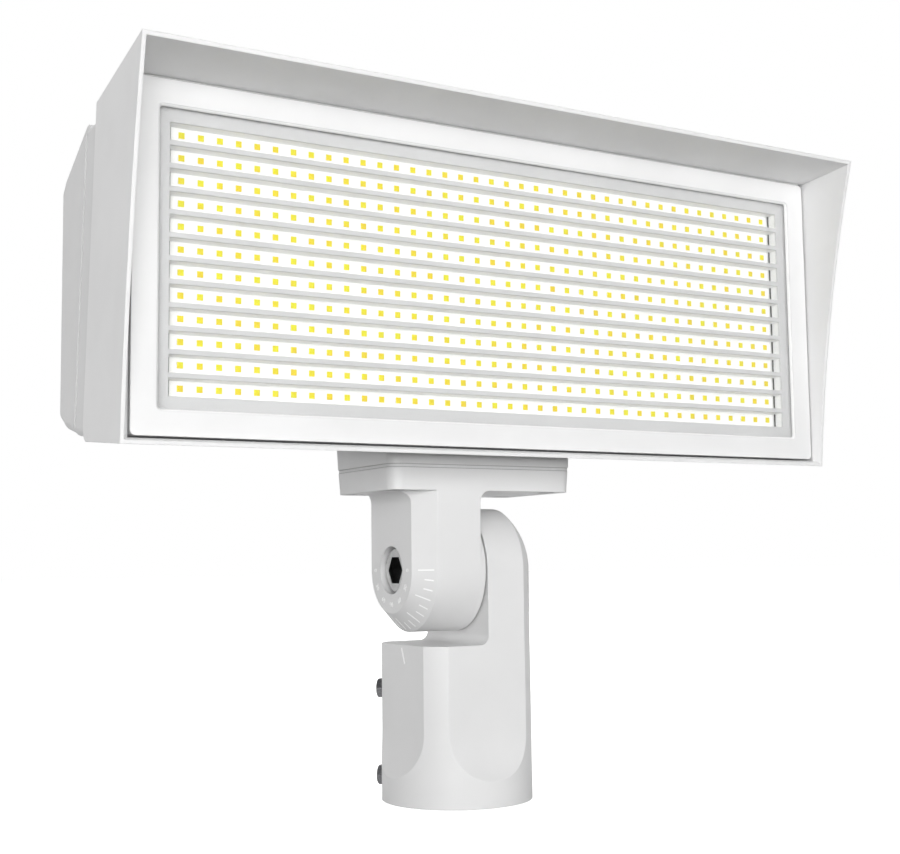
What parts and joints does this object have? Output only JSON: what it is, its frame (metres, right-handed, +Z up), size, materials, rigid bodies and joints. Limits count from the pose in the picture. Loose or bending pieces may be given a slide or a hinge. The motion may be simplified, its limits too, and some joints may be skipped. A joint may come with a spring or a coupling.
{
  "type": "floodlight",
  "caption": "White LED area floodlight with a deep glare hood, slotted baffle behind glass and a tilting slipfitter mount for a pole tenon.",
  "frame": {"origin": "centre of the slipfitter's lower rim, on the axis of the tenon bore", "axes": "+Z up along the tenon bore, -Y is where the light shines, +X runs along the tilt axis to the right"},
  "size_m": [0.418, 0.1713, 0.3535],
  "materials": {
    "coated_casting": "satin",
    "black_screw": "satin",
    "stainless": "satin",
    "seal_rubber": "matte",
    "seal_silicone": "matte",
    "friction_plastic": "matte",
    "clear_glass": "gloss",
    "baffle_coat": "matte",
    "lamp_board": "satin",
    "bare_aluminium": "satin",
    "driver_case": "satin",
    "zinc_steel": "satin",
    "block_plastic": "satin",
    "vent_plastic": "matte"
  },
  "bodies": {
    "mount": {"slipfitter": "coated_casting", "pivot_bolt": "stainless", "pivot_nut": "stainless", "pivot_washer": "stainless", "friction_washer": "friction_plastic"},
    "head": {"baffle": "baffle_coat", "baffle_rivets": "stainless", "bracket_screws": "stainless", "breather_vent": "vent_plastic", "carrier_screws": "stainless", "cover_screws": "stainless", "door_frame": "coated_casting", "door_gasket": "seal_rubber", "door_screws": "stainless", "driver": "driver_case", "driver_bracket": "zinc_steel", "flange_gasket": "seal_silicone", "flange_screws": "stainless", "housing": "coated_casting", "housing_gasket": "seal_silicone", "knuckle_arm": "coated_casting", "led_carrier": "bare_aluminium", "led_strip_01": "lamp_board", "led_strip_02": "lamp_board", "led_strip_03": "lamp_board", "led_strip_04": "lamp_board", "led_strip_05": "lamp_board", "led_strip_06": "lamp_board", "led_strip_07": "lamp_board", "led_strip_08": "lamp_board", "led_strip_09": "lamp_board", "led_strip_10": "lamp_board", "led_strip_11": "lamp_board", "led_strip_12": "lamp_board", "lens": "clear_glass", "lens_gasket": "seal_rubber", "rear_cover": "coated_casting", "surge_protector": "block_plastic", "terminal_block": "block_plastic", "visor": "coated_casting", "visor_screws": "stainless", "wire_bushing": "seal_rubber"},
    "set_screw_1": {"set_screw_1": "black_screw"},
    "set_screw_2": {"set_screw_2": "black_screw"},
    "set_screw_3": {"set_screw_3": "black_screw"},
    "set_screw_4": {"set_screw_4": "black_screw"}
  },
  "joints": [
    {"name": "head_tilt", "type": "hinge", "parent": "mount", "child": "head", "pos_m": [0, 0, 0.1223], "axis": [1, 0, 0], "range_deg": [-90, 90]},
    {"name": "set_screw_1_drive", "type": "slide", "parent": "mount", "child": "set_screw_1", "axis": [-0.7071, -0.7071, 0], "range_m": [0, 0.0014]},
    {"name": "set_screw_2_drive", "type": "slide", "parent": "mount", "child": "set_screw_2", "axis": [-0.7071, -0.7071, 0], "range_m": [0, 0.0014]},
    {"name": "set_screw_3_drive", "type": "slide", "parent": "mount", "child": "set_screw_3", "axis": [0.7071, -0.7071, 0], "range_m": [0, 0.0014]},
    {"name": "set_screw_4_drive", "type": "slide", "parent": "mount", "child": "set_screw_4", "axis": [0.7071, -0.7071, 0], "range_m": [0, 0.0014]}
  ]
}
